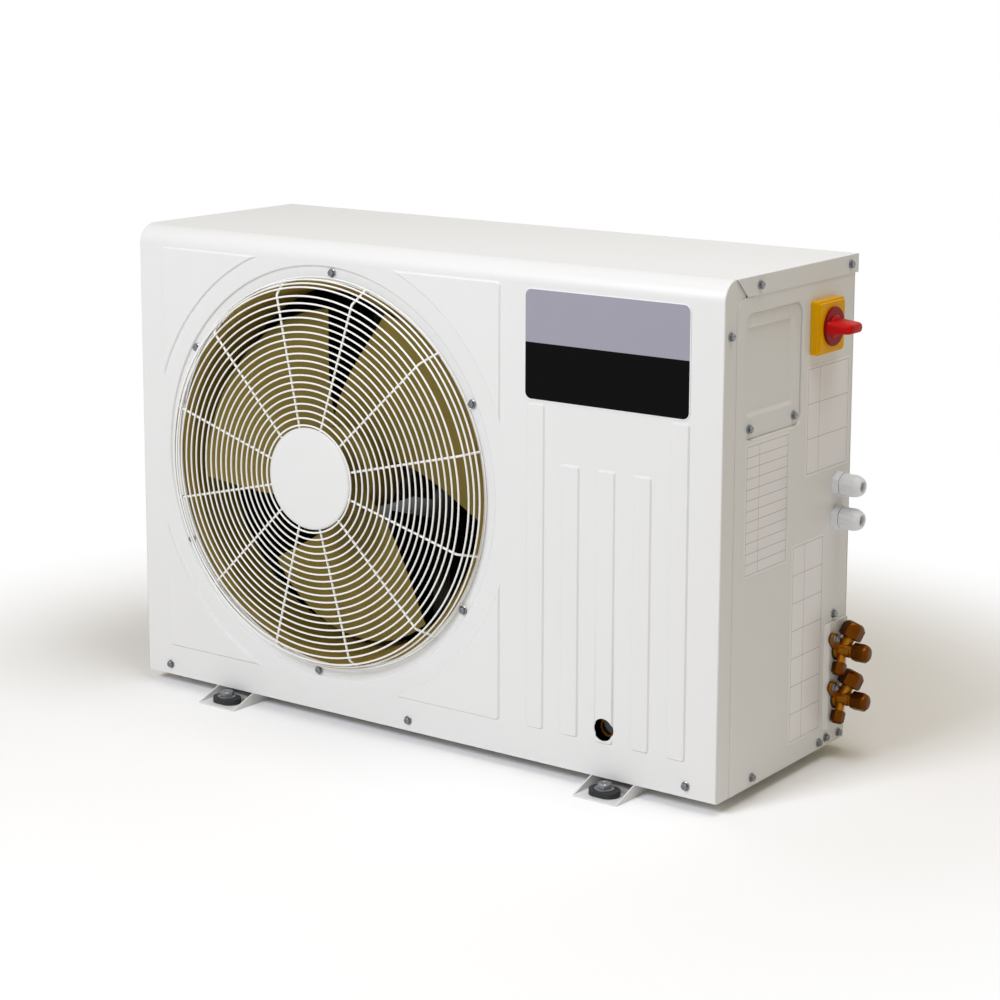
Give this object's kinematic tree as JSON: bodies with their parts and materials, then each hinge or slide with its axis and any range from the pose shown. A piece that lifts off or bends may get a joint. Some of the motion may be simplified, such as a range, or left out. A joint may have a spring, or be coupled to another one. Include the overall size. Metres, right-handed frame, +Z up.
{
  "type": "condensing unit",
  "caption": "Boxed condensing unit with a guarded fan, coil, compressor, service valves, rotary isolator and cable glands, standing on slotted feet.",
  "frame": {"origin": "centre of the four foot slots, on the floor", "axes": "+X to the right seen from the fan side, the fan faces -Y, +Z up"},
  "size_m": [1.0072, 0.412, 0.658],
  "materials": {
    "casing_paint": "smooth light grey-white powder coat",
    "black_rubber": "matt black rubber",
    "zinc": "zinc plated steel",
    "guard_paint": "white plastic coated wire",
    "fan_plastic": "matt khaki moulded plastic",
    "shroud_plastic": "matt khaki-white moulded plastic",
    "motor_paint": "black paint",
    "fin_aluminium": "thin bare aluminium fins",
    "copper": "bare copper tube",
    "vessel_paint": "black paint",
    "drier_paint": "dark green paint",
    "black_plastic": "matt black plastic",
    "plate_plastic": "bare grey plastic plate",
    "label_film": "bare satin film",
    "brass_body": "forged brass, dulled",
    "brass_cap": "turned brass, dulled",
    "sight_glass": "clear glass",
    "terminal_plastic": "cream plastic",
    "isolator_yellow": "glossy yellow plastic",
    "isolator_red": "glossy red plastic",
    "gland_plastic": "matt pale grey plastic"
  },
  "bodies": {
    "unit": {"base_pan": "casing_paint", "foot_rails": "casing_paint", "foot_grommets": "black_rubber", "front_panel": "casing_paint", "top_cover": "casing_paint", "right_side_panel": "casing_paint", "left_side_panel": "casing_paint", "rear_panel": "casing_paint", "coil_guards": "zinc", "nameplate": "plate_plastic", "side_labels": "label_film", "casing_screws": "zinc", "guard_rings": "guard_paint", "guard_spokes": "guard_paint", "guard_disc": "guard_paint", "fan_shroud": "shroud_plastic", "fan_motor": "motor_paint", "motor_bearings": "zinc", "motor_bracket": "zinc", "coil_fins": "fin_aluminium", "coil_end_plates": "zinc", "coil_return_bends": "copper", "partition_panel": "zinc", "compressor": "vessel_paint", "compressor_mounts": "black_rubber", "terminal_cover": "black_plastic", "liquid_receiver": "vessel_paint", "receiver_strap": "zinc", "suction_accumulator": "vessel_paint", "filter_drier": "drier_paint", "sight_glass_body": "brass_body", "sight_glass_lens": "sight_glass", "discharge_pipe": "copper", "suction_pipes": "copper", "liquid_pipes": "copper", "valve_bracket": "casing_paint", "valve_gaskets": "black_rubber", "suction_valve": "brass_body", "liquid_valve": "brass_body", "electrical_box": "zinc", "terminal_block": "terminal_plastic", "isolator_plate": "isolator_yellow", "isolator_switch": "black_plastic", "gland_bodies": "gland_plastic", "gland_locknuts": "gland_plastic", "gland_seals": "black_rubber"},
    "fan_rotor": {"fan": "fan_plastic", "fan_nut": "zinc", "fan_shaft": "zinc"},
    "isolator_knob": {"isolator_handle": "isolator_red"},
    "access_cover": {"service_cover": "casing_paint", "service_cover_screws": "zinc"},
    "suction_stem_cap_body": {"suction_stem_cap": "brass_cap"},
    "liquid_stem_cap_body": {"liquid_stem_cap": "brass_cap"},
    "suction_flare_cap_body": {"suction_flare_cap": "brass_cap"},
    "liquid_flare_cap_body": {"liquid_flare_cap": "brass_cap"},
    "suction_port_cap_body": {"suction_port_cap": "brass_cap"},
    "liquid_port_cap_body": {"liquid_port_cap": "brass_cap"},
    "upper_gland_nut_body": {"upper_gland_nut": "gland_plastic"},
    "lower_gland_nut_body": {"lower_gland_nut": "gland_plastic"}
  },
  "joints": [
    {"name": "fan_spin", "type": "hinge", "parent": "unit", "child": "fan_rotor", "pos_m": [-0.149, -0.108, 0.345], "axis": [0, 1, 0], "continuous": true},
    {"name": "isolator_turn", "type": "hinge", "parent": "unit", "child": "isolator_knob", "pos_m": [0.4671, 0.076, 0.576], "axis": [1, 0, 0], "range_deg": [0, 90]},
    {"name": "service_cover_off", "type": "slide", "parent": "unit", "child": "access_cover", "axis": [1, 0, 0], "range_m": [0, 0.06]},
    {"name": "suction_stem_cap_off", "type": "slide", "parent": "unit", "child": "suction_stem_cap_body", "axis": [0.2575, 0.4286, 0.866], "range_m": [0, 0.025]},
    {"name": "suction_flare_cap_off", "type": "slide", "parent": "unit", "child": "suction_flare_cap_body", "axis": [1, 0, 0], "range_m": [0, 0.025]},
    {"name": "suction_port_cap_off", "type": "slide", "parent": "unit", "child": "suction_port_cap_body", "axis": [0, -0.4067, -0.9135], "range_m": [0, 0.008]},
    {"name": "liquid_stem_cap_off", "type": "slide", "parent": "unit", "child": "liquid_stem_cap_body", "axis": [0.2575, 0.4286, 0.866], "range_m": [0, 0.025]},
    {"name": "liquid_flare_cap_off", "type": "slide", "parent": "unit", "child": "liquid_flare_cap_body", "axis": [1, 0, 0], "range_m": [0, 0.025]},
    {"name": "liquid_port_cap_off", "type": "slide", "parent": "unit", "child": "liquid_port_cap_body", "axis": [0, -0.4067, -0.9135], "range_m": [0, 0.008]},
    {"name": "upper_gland_nut_off", "type": "slide", "parent": "unit", "child": "upper_gland_nut_body", "axis": [1, 0, 0], "range_m": [0, 0.02]},
    {"name": "lower_gland_nut_off", "type": "slide", "parent": "unit", "child": "lower_gland_nut_body", "axis": [1, 0, 0], "range_m": [0, 0.02]}
  ]
}
